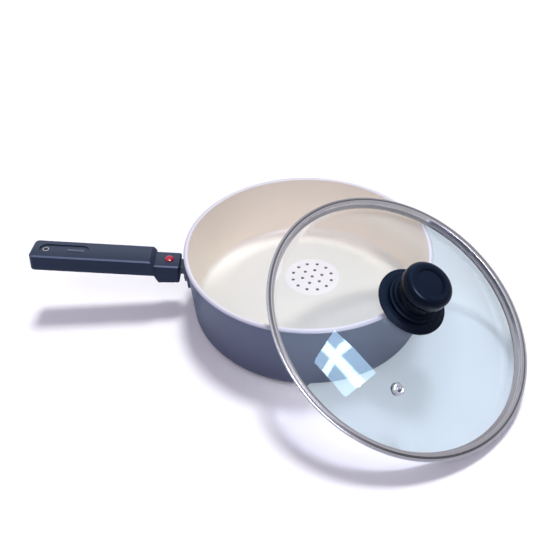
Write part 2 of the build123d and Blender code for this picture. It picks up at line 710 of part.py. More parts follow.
# ---------------------------------------------------------------- handle fittings
with BuildPart() as grip_screws:
    for screw_u in GRIP_SCREW_US:
        with BuildSketch(HANDLE.offset(-GRIP_HALF_T + SCREW_SINK)):
            with Locations((screw_u, 0)):
                Circle(SCREW_HEAD_R)
        extrude(amount=SCREW_HEAD_T - SCREW_SINK)
        with BuildSketch(HANDLE.offset(-GRIP_HALF_T + SCREW_HEAD_T - 0.1)):
            with Locations((screw_u, 0)):
                Circle(SCREW_R)
        extrude(amount=GRIP_HALF_T - SCREW_HEAD_T + 4.0)
        with BuildSketch(HANDLE.offset(-GRIP_HALF_T + SCREW_SINK)):
            with Locations((screw_u, 0)):
                Rectangle(CROSS_LENGTH, CROSS_WIDTH)
                Rectangle(CROSS_WIDTH, CROSS_LENGTH)
        extrude(amount=CROSS_DEPTH, mode=Mode.SUBTRACT)
grip_screws.part.label = "grip_screws"
export_step(grip_screws.part, "parts/grip_screws.step")

with BuildPart() as spigot_screws:
    for screw_v in (-SPIGOT_SCREW_V, SPIGOT_SCREW_V):
        with BuildSketch(HANDLE.offset(-GRIP_HALF_T + SCREW_SINK)):
            with Locations((SPIGOT_SCREW_U, screw_v)):
                Circle(SCREW_HEAD_R)
        extrude(amount=SCREW_HEAD_T - SCREW_SINK)
        with BuildSketch(HANDLE.offset(-GRIP_HALF_T + SCREW_HEAD_T - 0.1)):
            with Locations((SPIGOT_SCREW_U, screw_v)):
                Circle(SCREW_R)
        extrude(amount=GRIP_HALF_T - SCREW_HEAD_T + 1.0)
        with BuildSketch(HANDLE.offset(-GRIP_HALF_T + SCREW_SINK)):
            with Locations((SPIGOT_SCREW_U, screw_v)):
                Rectangle(CROSS_LENGTH, CROSS_WIDTH)
                Rectangle(CROSS_WIDTH, CROSS_LENGTH)
        extrude(amount=CROSS_DEPTH, mode=Mode.SUBTRACT)
spigot_screws.part.label = "spigot_screws"
export_step(spigot_screws.part, "parts/spigot_screws.step")

recess_floor = GRIP_HALF_T - RECESS_DEPTH
with BuildPart() as hanging_eyelet:
    with BuildSketch(HANDLE.offset(-GRIP_HALF_T)):
        with Locations((EYE_U, 0)):
            Circle(EYE_R + EYE_WALL)
    extrude(amount=GRIP_HALF_T + recess_floor + 0.1)
    with BuildSketch(HANDLE.offset(recess_floor)):
        with Locations((EYE_U, 0)):
            Circle(EYE_FLANGE_R)
    extrude(amount=EYE_FLANGE_T)
    with BuildSketch(HANDLE.offset(-GRIP_HALF_T)):
        with Locations((EYE_U, 0)):
            Circle(EYE_R)
    extrude(amount=2 * GRIP_HALF_T, mode=Mode.SUBTRACT)
hanging_eyelet.part.label = "hanging_eyelet"
export_step(hanging_eyelet.part, "parts/hanging_eyelet.step")

with BuildPart() as handle_inlay:
    with BuildSketch(HANDLE.offset(recess_floor)):
        with Locations((INLAY_U, 0)):
            SlotOverall(INLAY_LENGTH, INLAY_WIDTH)
    extrude(amount=INLAY_T)
    chamfer(edges_at_height(recess_floor + INLAY_T), INLAY_CHAMFER)
handle_inlay.part.label = "handle_inlay"
export_step(handle_inlay.part, "parts/handle_inlay.step")

# ---------------------------------------------------------------- lid band and glass
band_wall_in = SKIRT_R - SHEET_T
channel_in_r = SKIRT_R - CHANNEL_REACH
lip_in_r = SKIRT_R - SHEET_T - LIP_REACH
lip_low = glass_top(lip_in_r) + SEAL_GAP
bead_r = BAND_OUTER_R - BEAD_R
valley_r = bead_r - VALLEY_WIDTH
flange_under = BAND_FLANGE_H - SHEET_T

with BuildPart() as lid_band:
    with BuildSketch(LID_SECTION):
        with BuildLine():
            Polyline(
                (channel_in_r, 0),
                (SKIRT_R, 0),
                (SKIRT_R, flange_under),
            )
            ThreePointArc(
                (SKIRT_R, flange_under),
                ((SKIRT_R + valley_r) / 2, flange_under + BAND_CROWN),
                (valley_r, flange_under),
            )
            Polyline(
                (valley_r, flange_under),
                (bead_r, flange_under),
                (bead_r, BAND_FLANGE_H),
                (valley_r, BAND_FLANGE_H),
            )
            ThreePointArc(
                (valley_r, BAND_FLANGE_H),
                ((band_wall_in + valley_r) / 2, BAND_FLANGE_H + BAND_CROWN),
                (band_wall_in, BAND_FLANGE_H),
            )
            Polyline(
                (band_wall_in, BAND_FLANGE_H),
                (band_wall_in, lip_low + SHEET_T),
                (lip_in_r, lip_low + SHEET_T),
                (lip_in_r, lip_low),
                (band_wall_in, lip_low),
                (band_wall_in, SHEET_T),
                (channel_in_r, SHEET_T),
                (channel_in_r, 0),
            )
        make_face()
        fillet(vertices().sort_by_distance((SKIRT_R, 0))[0], SHEET_T)
        fillet(vertices().sort_by_distance((band_wall_in, BAND_FLANGE_H))[0], SHEET_T)
        with Locations((bead_r, BAND_FLANGE_H - BEAD_R + BEAD_SHEET_T / 3)):
            Circle(BEAD_R)
            Circle(BEAD_R - BEAD_SHEET_T, mode=Mode.SUBTRACT)
    revolve(axis=LID_AXIS)
lid_band.part.label = "lid_band"
export_step(lid_band.part, "parts/lid_band.step")

with BuildPart() as lid_glass:
    with BuildSketch(LID_SECTION):
        with BuildLine():
            edge_top = (GLASS_EDGE_R, glass_top(GLASS_EDGE_R))
            edge_low = (GLASS_EDGE_R, SHEET_T + GLASS_FOOT_GAP)
            bend_top = (GLASS_EDGE_R * 0.5, glass_top(GLASS_EDGE_R * 0.5))
            bend_low = (GLASS_EDGE_R * 0.5, glass_under(GLASS_EDGE_R * 0.5))
            low_r = math.sqrt(UNDER_R**2 - (edge_low[1] - DOME_CENTRE_H) ** 2)
            ThreePointArc((GLASS_BORE_R, glass_top(GLASS_BORE_R)), bend_top, edge_top)
            Line(edge_top, edge_low)
            Line(edge_low, (low_r, edge_low[1]))
            ThreePointArc((low_r, edge_low[1]), bend_low, (GLASS_BORE_R, glass_under(GLASS_BORE_R)))
            Line((GLASS_BORE_R, glass_under(GLASS_BORE_R)), (GLASS_BORE_R, glass_top(GLASS_BORE_R)))
        make_face()
        fillet(vertices().sort_by_distance(edge_top)[0], GLASS_ROUND)
    revolve(axis=LID_AXIS)
    with BuildSketch(VENT.offset(-GLASS_T - 2)):
        Circle(VENT_HOLE_R + VENT_TUBE_WALL + 0.1)
    extrude(amount=GLASS_T + 4, mode=Mode.SUBTRACT)
lid_glass.part.label = "lid_glass"
export_step(lid_glass.part, "parts/lid_glass.step")

# ---------------------------------------------------------------- vent
tube_r = VENT_HOLE_R + VENT_TUBE_WALL
with BuildPart() as vent_grommet:
    with BuildSketch(VENT_SECTION):
        with BuildLine():
            roll_out = (VENT_FLANGE_R, VENT_ROLL_EDGE)
            roll_in = (VENT_HOLE_R, 2 * VENT_ROLL_EDGE)
            tube_foot = -GLASS_T - VENT_WASHER_T
            Polyline(
                roll_in,
                (VENT_HOLE_R, tube_foot - VENT_FLARE),
                (tube_r + VENT_FLARE, tube_foot - VENT_FLARE),
                (tube_r, tube_foot - 0.02),
                (tube_r, 0.02),
                (VENT_FLANGE_R, 0.02),
                roll_out,
            )
            ThreePointArc(roll_out, ((VENT_FLANGE_R + VENT_HOLE_R) / 2, VENT_FLANGE_T), roll_in)
        make_face()
    revolve(axis=VENT_AXIS)
vent_grommet.part.label = "vent_grommet"
export_step(vent_grommet.part, "parts/vent_grommet.step")

with BuildPart() as vent_washer:
    with BuildSketch(VENT.offset(-GLASS_T - VENT_WASHER_T)):
        Circle(VENT_WASHER_R)
        Circle(tube_r + 0.05, mode=Mode.SUBTRACT)
    extrude(amount=VENT_WASHER_T - 0.1)
vent_washer.part.label = "vent_washer"
export_step(vent_washer.part, "parts/vent_washer.step")

# ---------------------------------------------------------------- knob
hub_foot = glass_top(HUB_R) + GASKET_T
insert_foot = DOME_TOP + GASKET_T + 0.4
cap_foot = KNOB_TOP_H - KNOB_CAP_H
disc_foot = KNOB_TOP_H - KNOB_DISH_DEPTH - KNOB_DISC_T
with BuildPart() as knob_body:
    with BuildSketch(LID_SECTION):
        with BuildLine():
            skirt_low = (KNOB_SKIRT_R, KNOB_SKIRT_H - KNOB_SKIRT_EDGE)
            skirt_high = (KNOB_SKIRT_R, KNOB_SKIRT_H)
            bevel_in = (KNOB_SKIRT_R - KNOB_BEVEL_W, KNOB_SKIRT_H + KNOB_BEVEL_H)
            collar_foot = (KNOB_COLLAR_R, bevel_in[1])
            collar_top = (KNOB_COLLAR_R - 0.4, bevel_in[1] + KNOB_STEP_H)
            step_foot = (KNOB_STEP_R + 0.4, collar_top[1] + 0.5)
            step_top = (KNOB_STEP_R, step_foot[1] + KNOB_STEP_H)
            neck_low = (KNOB_NECK_R + 0.8, step_top[1] + 0.5)
            neck_high = (KNOB_NECK_R, cap_foot)
            cap_low = (KNOB_CAP_R, cap_foot + KNOB_CAP_FLARE_H)
            cap_high = (KNOB_CAP_R, KNOB_TOP_H - KNOB_CAP_ROUND - 1.2)
            shoulder = (KNOB_DISH_R + 1.6, KNOB_TOP_H)
            Polyline(skirt_low, skirt_high, bevel_in, collar_foot, collar_top, step_foot, step_top, neck_low)
            Line(neck_low, neck_high)
            ThreePointArc(neck_high, (KNOB_NECK_R + 1.4, cap_foot + KNOB_CAP_FLARE_H * 0.6), cap_low)
            Line(cap_low, cap_high)
            ThreePointArc(cap_high, (KNOB_CAP_R - 1.5, KNOB_TOP_H - 1.5), shoulder)
            Polyline(
                shoulder,
                (KNOB_DISH_R, KNOB_TOP_H),
                (KNOB_DISH_R, disc_foot),
                (0, disc_foot),
                (0, insert_foot + INSERT_LENGTH),
                (HUB_BORE_R, insert_foot + INSERT_LENGTH),
                (HUB_BORE_R, hub_foot + 0.05),
                (HUB_R, hub_foot + 0.05),
                (HUB_R, bevel_in[1] + KNOB_UNDER_RISE),
                (KNOB_COLLAR_R - KNOB_WALL, bevel_in[1] - 0.1),
                (KNOB_SKIRT_R - 1.6, KNOB_SKIRT_H - KNOB_SKIRT_EDGE),
                skirt_low,
            )
        make_face()
    revolve(axis=LID_AXIS)
knob_body.part.label = "knob_body"
export_step(knob_body.part, "parts/knob_body.step")

with BuildPart() as knob_disc:
    with BuildSketch(LID_SECTION):
        with BuildLine():
            disc_edge_r = KNOB_DISH_R - KNOB_DISC_GAP
            face_r = disc_edge_r - 1.5
            face_top = KNOB_TOP_H - KNOB_DISH_DEPTH + DISC_CROWN
            Polyline(
                (0, disc_foot),
                (disc_edge_r, disc_foot),
                (disc_edge_r, KNOB_TOP_H - 0.5),
                (disc_edge_r - 1.0, KNOB_TOP_H - 0.5),
                (face_r, KNOB_TOP_H - KNOB_DISH_DEPTH),
            )
            ThreePointArc(
                (face_r, KNOB_TOP_H - KNOB_DISH_DEPTH),
                (face_r / 2, face_top - dome_drop(face_r / 2, face_r, DISC_CROWN)),
                (0, face_top),
            )
            Line((0, face_top), (0, disc_foot))
        make_face()
    revolve(axis=LID_AXIS)
knob_disc.part.label = "knob_disc"
export_step(knob_disc.part, "parts/knob_disc.step")

with BuildPart() as knob_insert:
    with BuildSketch(LID.offset(insert_foot)):
        Circle(INSERT_R)
        Circle(KNOB_SCREW_R + 0.05, mode=Mode.SUBTRACT)
    extrude(amount=INSERT_LENGTH)
knob_insert.part.label = "knob_insert"
export_step(knob_insert.part, "parts/knob_insert.step")

under_stack = glass_under(WASHER_R)
with BuildPart() as knob_gasket:
    with BuildSketch(LID_SECTION):
        with BuildLine():
            Line((GLASS_BORE_R + 0.4, glass_top(GLASS_BORE_R) + 0.03), (GLASS_BORE_R + 0.4, hub_foot))
            Line((GLASS_BORE_R + 0.4, hub_foot), (HUB_R, hub_foot))
            Line((HUB_R, hub_foot), (HUB_R, glass_top(HUB_R) + 0.03))
            ThreePointArc(
                (HUB_R, glass_top(HUB_R) + 0.03),
                (HUB_R * 0.6, glass_top(HUB_R * 0.6) + 0.03),
                (GLASS_BORE_R + 0.4, glass_top(GLASS_BORE_R) + 0.03),
            )
        make_face()
    revolve(axis=LID_AXIS)
knob_gasket.part.label = "knob_gasket"
export_step(knob_gasket.part, "parts/knob_gasket.step")

with BuildPart() as under_gasket:
    with BuildSketch(LID.offset(under_stack - GASKET_T)):
        Circle(WASHER_R)
        Circle(KNOB_SCREW_R + 0.2, mode=Mode.SUBTRACT)
    extrude(amount=GASKET_T - 0.03)
under_gasket.part.label = "under_gasket"
export_step(under_gasket.part, "parts/under_gasket.step")

washer_foot = under_stack - GASKET_T - WASHER_T
with BuildPart() as knob_washer:
    with BuildSketch(LID.offset(washer_foot)):
        Circle(WASHER_R - 0.8)
        Circle(KNOB_SCREW_R + 0.2, mode=Mode.SUBTRACT)
    extrude(amount=WASHER_T)
    chamfer(faces().sort_by(LID_AXIS)[0].edges().sort_by(SortBy.LENGTH)[-1], 0.5)
knob_washer.part.label = "knob_washer"
export_step(knob_washer.part, "parts/knob_washer.step")

with BuildPart() as knob_screw:
    with BuildSketch(LID.offset(washer_foot - KNOB_SCREW_HEAD_T)):
        Circle(KNOB_SCREW_HEAD_R)
    extrude(amount=KNOB_SCREW_HEAD_T)
    fillet(faces().sort_by(LID_AXIS)[0].edges(), KNOB_SCREW_HEAD_ROUND)
    with BuildSketch(LID.offset(washer_foot - 0.1)):
        Circle(KNOB_SCREW_R)
    extrude(amount=insert_foot + INSERT_LENGTH - washer_foot - 1.0)
    with BuildSketch(LID.offset(washer_foot - KNOB_SCREW_HEAD_T)):
        Rectangle(KNOB_CROSS_LENGTH, KNOB_CROSS_WIDTH)
        Rectangle(KNOB_CROSS_WIDTH, KNOB_CROSS_LENGTH)
    extrude(amount=KNOB_CROSS_DEPTH, mode=Mode.SUBTRACT)
knob_screw.part.label = "knob_screw"
export_step(knob_screw.part, "parts/knob_screw.step")
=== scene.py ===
"""Dresses the saucepan, its detachable handle and its leaning glass lid for rendering."""

import logging
import math
from dataclasses import dataclass, field
from enum import Enum

import bmesh
import bpy
from mathutils import Matrix, Vector


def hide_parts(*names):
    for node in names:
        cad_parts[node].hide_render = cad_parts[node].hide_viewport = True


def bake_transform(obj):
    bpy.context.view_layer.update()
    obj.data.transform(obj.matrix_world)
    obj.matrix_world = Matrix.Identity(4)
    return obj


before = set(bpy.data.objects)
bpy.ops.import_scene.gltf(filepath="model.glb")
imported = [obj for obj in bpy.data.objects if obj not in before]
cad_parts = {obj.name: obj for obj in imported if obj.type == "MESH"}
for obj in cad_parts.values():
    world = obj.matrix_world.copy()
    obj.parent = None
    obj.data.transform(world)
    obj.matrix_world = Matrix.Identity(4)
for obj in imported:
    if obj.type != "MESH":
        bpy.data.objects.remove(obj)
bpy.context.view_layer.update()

LOG = logging.getLogger("saucepan")
MM = 0.001

# The part of a noise texture's range that holds most of its values.
NOISE_BODY = (0.3, 0.7)
# Share of a finish's variation that is fine grain. The rest is broad, at the scale that follows.
FINE_SHARE = 0.35
BROAD_SCALE = 18.0
# Depth of a finish's grain, and roughness of a clear coat over it.
RELIEF_DEPTH = 0.1 * MM
COAT_ROUGHNESS = 0.08
# Points of a solid's mesh that lie closer than this are joined before it is shaded.
WELD_REACH = 0.002 * MM
# How far a face's normal points up where the painted sheen begins, and where it is full.
PAINTED_SHEEN_UP = (0.80, 0.97)
# Places across the handle, from the near side to the far one, and the share of painted sheen at each.
PAINTED_SHEEN_ACROSS = (-9 * MM, 10 * MM)
PAINTED_SHEEN_SHARES = (0.35, 1.25)
# How nearly a normal lies along the chamfers where the painted highlight begins, and where it is full.
PAINTED_HIGHLIGHT_LEAN = (0.93, 0.985)
# Half the width of the painted shade line's soft edge, in millimetres.
PAINTED_SHADE_SOFT = 0.15


# ------------------------------------------------------------------ colour and nodes
def linear(hex_colour: str) -> tuple[float, float, float, float]:
    """Turns an sRGB hex colour into the linear colour that Blender's sockets take.

    Args:
        hex_colour: Six hex digits, with or without a leading hash.

    Returns:
        Linear red, green and blue, and an alpha of one.
    """
    digits = hex_colour.lstrip("#")
    channels = []
    for start in (0, 2, 4):
        value = int(digits[start : start + 2], 16) / 255
        channels.append(value / 12.92 if value <= 0.04045 else ((value + 0.055) / 1.055) ** 2.4)
    return (channels[0], channels[1], channels[2], 1.0)


@dataclass
class NodeTree:
    """A material's or world's node tree, with one method that adds a node."""

    tree: bpy.types.NodeTree

    def feed(self, node: bpy.types.Node, inputs: dict) -> None:
        """Sets a node's inputs.

        Args:
            node: The node.
            inputs: Socket name or number to a value, or to the output socket that feeds it.
        """
        for socket, value in inputs.items():
            if isinstance(value, bpy.types.NodeSocket):
                self.tree.links.new(value, node.inputs[socket])
            else:
                node.inputs[socket].default_value = value

    def add(self, kind: str, inputs: dict | None = None, **settings: object) -> bpy.types.Node:
        """Adds a node, sets its properties and values, and links what feeds it.

        Args:
            kind: The node's type, such as ShaderNodeMath.
            inputs: Socket name or number to a value, or to the output socket that feeds it.
            **settings: The node's own properties.

        Returns:
            The new node.
        """
        node = self.tree.nodes.new(kind)
        for name, value in settings.items():
            setattr(node, name, value)
        self.feed(node, inputs or {})
        return node

    def coordinate(self, kind: str = "Object") -> bpy.types.NodeSocket:
        """Gives a texture coordinate, in metres for the kind Object."""
        return self.add("ShaderNodeTexCoord").outputs[kind]

    def math(self, operation: str, *values: object) -> bpy.types.NodeSocket:
        """Adds a Math node and returns its result."""
        return self.add("ShaderNodeMath", dict(enumerate(values)), operation=operation).outputs[0]

    def split(self, vector: bpy.types.NodeSocket) -> list[bpy.types.NodeSocket]:
        """Gives a vector's three parts."""
        return list(self.add("ShaderNodeSeparateXYZ", {0: vector}).outputs)

    def length(self, first: bpy.types.NodeSocket, second: bpy.types.NodeSocket) -> bpy.types.NodeSocket:
        """Gives the length of the vector that has these two parts."""
        squares = [self.math("MULTIPLY", part, part) for part in (first, second)]
        return self.math("SQRT", self.math("ADD", *squares))

    def off(self, value: bpy.types.NodeSocket, place: float) -> bpy.types.NodeSocket:
        """Gives how far a number lies from a place, either way."""
        return self.math("ABSOLUTE", self.math("SUBTRACT", value, place))

    def noise(self, at: bpy.types.NodeSocket, scale: float, detail: float = 2.0) -> bpy.types.NodeSocket:
        """Adds a noise texture and returns its strength."""
        return self.add("ShaderNodeTexNoise", {"Vector": at, "Scale": scale, "Detail": detail}).outputs[0]

    def relief(self, height: bpy.types.NodeSocket, strength: float, depth: float) -> bpy.types.NodeSocket:
        """Adds a Bump node and returns the normal that it bends."""
        inputs = {"Strength": strength, "Distance": depth, "Height": height}
        return self.add("ShaderNodeBump", inputs).outputs[0]

    def ramp(
        self, factor: bpy.types.NodeSocket, stops: tuple[tuple[float, str], ...]
    ) -> bpy.types.NodeSocket:
        """Adds a colour ramp.

        Args:
            factor: What the ramp is read at.
            stops: Position and hex colour of each stop.

        Returns:
            The ramp's colour.
        """
        node = self.add("ShaderNodeValToRGB", {0: factor})
        elements = node.color_ramp.elements
        while len(elements) < len(stops):
            elements.new(0.5)
        for element, (place, colour) in zip(elements, stops):
            element.position = place
            element.color = linear(colour)
        return node.outputs[0]

    def remap(
        self, value: bpy.types.NodeSocket, low: float, high: float, to_low: float = 0.0, to_high: float = 1.0
    ) -> bpy.types.NodeSocket:
        """Maps one range of numbers to another, clamped, and returns the result."""
        node = self.add(
            "ShaderNodeMapRange",
            {"Value": value, "From Min": low, "From Max": high, "To Min": to_low, "To Max": to_high},
        )
        return node.outputs[0]

    def mix(self, factor: object, first: object, second: object) -> bpy.types.NodeSocket:
        """Mixes two colours and returns the result."""
        node = self.add("ShaderNodeMix", {0: factor, 6: first, 7: second}, data_type="RGBA")
        return node.outputs[2]


def blank(name: str) -> tuple[bpy.types.Material, NodeTree, bpy.types.Node]:
    """Makes a material that is still plain.

    Args:
        name: The material's name.

    Returns:
        The material, its node tree and its Principled shader.
    """
    material = bpy.data.materials.new(name)
    material.use_nodes = True
    return material, NodeTree(material.node_tree), material.node_tree.nodes["Principled BSDF"]


class Grain(Enum):
    """How a finish breaks up its surface."""

    EVEN = "even"
    BRUSHED_ROUND = "brushed_round"


@dataclass(frozen=True)
class Finish:
    """A finish whose look comes from one colour, fine variation and a surface grain.

    Attributes:
        name: The material's name.
        colour: Main sRGB colour.
        shade: Colour that the variation runs to.
        metallic: 1 for bare metal.
        roughness: Mean roughness.
        rough_spread: How far the roughness varies either way.
        grain: How the surface is broken up.
        grain_mm: Size of the grain.
        bump: Strength of the grain's relief.
        ior: Index of refraction, 1.5 for plastics and for metal's default.
        coat: Weight of a clear coat.
        axis: Centre of a round brushing, in metres.
        turn: Direction that the round brushing turns about.
        painted_sheen: Colour of a painted sheen on the faces that look up, or none.
        painted_chamfer_highlight: Colour of a painted highlight on the chamfers along the top, or none.
        gleam: Colour of what the surface reflects face on.
        painted_valley_shade: Inner and outer radius of a painted shade line about the axis, in millimetres.
        painted_valley_shade_colour: Colour of that painted shade line.
    """

    name: str
    colour: str
    shade: str
    metallic: float = 0.0
    roughness: float = 0.4
    rough_spread: float = 0.06
    grain: Grain = Grain.EVEN
    grain_mm: float = 0.5
    bump: float = 0.05
    ior: float = 1.5
    coat: float = 0.0
    axis: tuple[float, float, float] = (0.0, 0.0, 0.0)
    turn: tuple[float, float, float] = (0.0, 0.0, 1.0)
    painted_sheen: str = ""
    painted_chamfer_highlight: str = ""
    gleam: str = "#FFFFFF"
    painted_valley_shade: tuple[float, float] = (0.0, 0.0)
    painted_valley_shade_colour: str = "#74747B"

    def add_painted_light(
        self, nodes: NodeTree, at: bpy.types.NodeSocket, tint: bpy.types.NodeSocket
    ) -> bpy.types.NodeSocket:
        """Paints a sheen on the faces that look up and a highlight on their chamfers, and paints a shade
        line round the axis.

        Args:
            nodes: The material's tree.
            at: The coordinate that the grain is read at, whose x is the radius on round work.
            tint: The colour before the painted light and shade.

        Returns:
            The colour with painted light and shade.
        """
        facing = nodes.split(nodes.add("ShaderNodeNewGeometry").outputs["Normal"])
        # painted sheen: faces that look up are painted paler, more so towards the handle's far side.
        if self.painted_sheen:
            up = nodes.remap(facing[2], *PAINTED_SHEEN_UP)
            share = nodes.remap(nodes.split(at)[1], *PAINTED_SHEEN_ACROSS, *PAINTED_SHEEN_SHARES)
            tint = nodes.mix(nodes.math("MULTIPLY", up, share), tint, linear(self.painted_sheen))
        # painted shade: a dark line is painted round the axis, in the band's valley where it folds.
        if self.painted_valley_shade[1]:
            inner, outer = self.painted_valley_shade
            off = nodes.off(nodes.split(at)[0], (inner + outer) / 2 * MM)
            half = (outer - inner) / 2
            inside = nodes.remap(off, (half + PAINTED_SHADE_SOFT) * MM, (half - PAINTED_SHADE_SOFT) * MM)
            tint = nodes.mix(inside, tint, linear(self.painted_valley_shade_colour))
        # painted highlight: the chamfers along the top are painted paler.
        if self.painted_chamfer_highlight:
            side = nodes.math("ABSOLUTE", facing[1])
            lean = nodes.math("MULTIPLY", nodes.math("ADD", side, facing[2]), math.sqrt(0.5))
            tint = nodes.mix(nodes.remap(lean, *PAINTED_HIGHLIGHT_LEAN), tint, linear(self.painted_chamfer_highlight))
        return tint

    def place(self, nodes: NodeTree) -> bpy.types.NodeSocket:
        """Gives the coordinate that the grain is read at, in metres."""
        at = nodes.coordinate()
        if self.grain is not Grain.BRUSHED_ROUND:
            return at
        turned = Vector(self.turn).to_track_quat("Z", "Y").to_matrix().inverted().to_euler()
        moved = nodes.add("ShaderNodeVectorMath", {0: at, 1: self.axis}, operation="SUBTRACT").outputs[0]
        local = nodes.add(
            "ShaderNodeVectorRotate", {"Vector": moved, "Rotation": turned}, rotation_type="EULER_XYZ"
        ).outputs[0]
        x, y, z = nodes.split(local)
        return nodes.add("ShaderNodeCombineXYZ", {0: nodes.length(x, y), 2: z}).outputs[0]

    def build(self) -> bpy.types.Material:
        """Makes the material."""
        material, nodes, shader = blank(self.name)
        at = self.place(nodes)
        fine = nodes.noise(at, 1 / (self.grain_mm * MM), 3.0)
        broad = nodes.noise(at, BROAD_SCALE)
        blend = nodes.math("MULTIPLY_ADD", fine, FINE_SHARE, nodes.math("MULTIPLY", broad, 1 - FINE_SHARE))
        tint = nodes.mix(nodes.remap(blend, *NOISE_BODY), linear(self.colour), linear(self.shade))
        low, high = self.roughness - self.rough_spread, self.roughness + self.rough_spread
        nodes.feed(
            shader,
            {
                "Base Color": self.add_painted_light(nodes, at, tint),
                "Roughness": nodes.remap(blend, *NOISE_BODY, low, high),
                "Normal": nodes.relief(fine, self.bump, RELIEF_DEPTH),
                "Metallic": self.metallic,
                "IOR": self.ior,
                "Specular Tint": linear(self.gleam),
                "Coat Weight": self.coat,
                "Coat Roughness": COAT_ROUGHNESS,
            },
        )
        return material


@dataclass(frozen=True)
class PanEnamel:
    """Sprayed ceramic coating inside the pan and coloured enamel outside, on one body.

    The eye sees an ivory bowl with a clean pale rim, a blue-grey satin wall, and a whiter round patch
    where the heat indicator is printed. Light and shade are painted on its floor, wall, rim top and base.
    Lengths are in millimetres.

    Attributes:
        mouth_r: Inner radius at the rim.
        taper: How much narrower the bowl is at its floor.
        wall_margin: How far into the wall the bowl's colour is held to run.
        height: Height of the rim.
        floor_z: Height of the cooking surface.
        floor_margin: How far below the cooking surface the bowl's colour is held to run.
        lip_z: Lowest height of the pale rim's outer face.
        white_z: Height above which the lip's top is painted white: its own pale colour and a painted
            highlight.
        white_rise: How far above that height the white is full.
        white_r: Radius outside which the lip's top is no longer painted white.
        soft: Half the width of a soft edge between two colours.
        patch: Centre of the indicator patch.
        patch_r: Radius of the indicator patch.
        patch_soft: Half the width of the patch's soft edge.
        cove: Heights above the floor over which its colour turns into the wall's.
        painted_light_ring: Radii between which painted light grows on the floor towards the wall.
        painted_light_far: Distances behind the centre between which that painted light grows.
        painted_shade_z: Height up to which painted shade darkens the outside.
        ivory: Colour of the bowl's wall, a painted-light copy of the same coating as the floor.
        ivory_floor_painted_shade: Colour of the cooking surface, a painted-shade copy of the same coating as
            the wall.
        ivory_edge_painted_light: Colour of the painted light on the cooking surface's far edge.
        patch_white: Colour of the indicator patch.
        stain: Colour of a faint cloudiness inside.
        lip: Colour of the rolled rim's outer face.
        lip_white_painted_highlight: Colour of the rim's top, its pale colour together with a painted
            highlight.
        outside: Colour of the outer wall.
        outside_low_painted_shade: Colour of painted shade on the outer wall near the base.
        fleck: Colour of the fine speckle outside.
        stain_scale: Scale of the cloudiness.
        stain_body: Noise values between which the cloudiness grows.
        stain_share: Most that the cloudiness covers.
        fleck_scale: Scale of the speckle.
        fleck_body: Noise values between which the speckle grows.
        fleck_share: Most that the speckle covers.
        rough_in: Lowest and highest roughness of the ceramic.
        rough_out: Lowest and highest roughness of the enamel.
        relief: Strength and depth of the sprayed surface's orange peel.
    """

    mouth_r: float = 115.6
    taper: float = 3.6
    wall_margin: float = 1.3
    height: float = 74.0
    floor_z: float = 5.2
    floor_margin: float = 1.2
    lip_z: float = 71.4
    white_z: float = 73.3
    white_rise: float = 0.3
    white_r: float = 118.2
    soft: float = 0.5
    patch: tuple[float, float] = (8.0, 27.0)
    patch_r: float = 29.0
    patch_soft: float = 0.6
    cove: tuple[float, float] = (1.0, 6.0)
    painted_light_ring: tuple[float, float] = (84.0, 104.0)
    painted_light_far: tuple[float, float] = (10.0, 70.0)
    painted_shade_z: float = 60.0
    ivory: str = "#FCF2E3"
    ivory_floor_painted_shade: str = "#D0D2CE"
    ivory_edge_painted_light: str = "#FFFDF6"
    patch_white: str = "#DCDCDF"
    stain: str = "#D9CFC2"
    lip: str = "#BFC0CE"
    lip_white_painted_highlight: str = "#DFDDE5"
    outside: str = "#666B83"
    outside_low_painted_shade: str = "#51556C"
    fleck: str = "#7C8296"
    stain_scale: float = 14.0
    stain_body: tuple[float, float] = (0.35, 0.7)
    stain_share: float = 0.06
    fleck_scale: float = 900.0
    fleck_body: tuple[float, float] = (0.45, 0.75)
    fleck_share: float = 0.10
    rough_in: tuple[float, float] = (0.30, 0.38)
    rough_out: tuple[float, float] = (0.36, 0.46)
    relief: tuple[float, float] = (0.08, 0.05)

    def in_bowl(
        self, nodes: NodeTree, radius: bpy.types.NodeSocket, z: bpy.types.NodeSocket
    ) -> bpy.types.NodeSocket:
        """Gives 1 on the bowl's inner faces and 0 elsewhere."""
        mouth = self.mouth_r + self.wall_margin
        wall_r = nodes.remap(z, self.floor_z * MM, self.height * MM, (mouth - self.taper) * MM, mouth * MM)
        within = nodes.math("LESS_THAN", radius, wall_r)
        above = nodes.math("GREATER_THAN", z, (self.floor_z - self.floor_margin) * MM)
        return nodes.math("MULTIPLY", within, above)

    def on_rim(
        self, nodes: NodeTree, radius: bpy.types.NodeSocket, z: bpy.types.NodeSocket
    ) -> bpy.types.NodeSocket:
        """Gives how far a point belongs to the rim's white top, pale and with a painted highlight, from 0 to
        1.
        """
        high = nodes.remap(z, (self.white_z - self.soft) * MM, (self.white_z + self.white_rise) * MM)
        near = nodes.remap(radius, (self.white_r + self.soft) * MM, (self.white_r - self.soft) * MM)
        return nodes.math("MULTIPLY", high, near)

    def bowl(
        self, nodes: NodeTree, place: list[bpy.types.NodeSocket], radius: bpy.types.NodeSocket,
        cloud: bpy.types.NodeSocket,
    ) -> bpy.types.NodeSocket:
        """Gives the ceramic's colour: wall and floor painted apart for light and shade, painted light on the
        floor's far edge, patch and cloudiness.
        """
        x, y, z = place
        # painted light and shade: the one coating is painted paler on the wall and darker on the floor,
        # blended over the cove.
        low = nodes.remap(z, *((self.floor_z + rise) * MM for rise in self.cove), 1.0, 0.0)
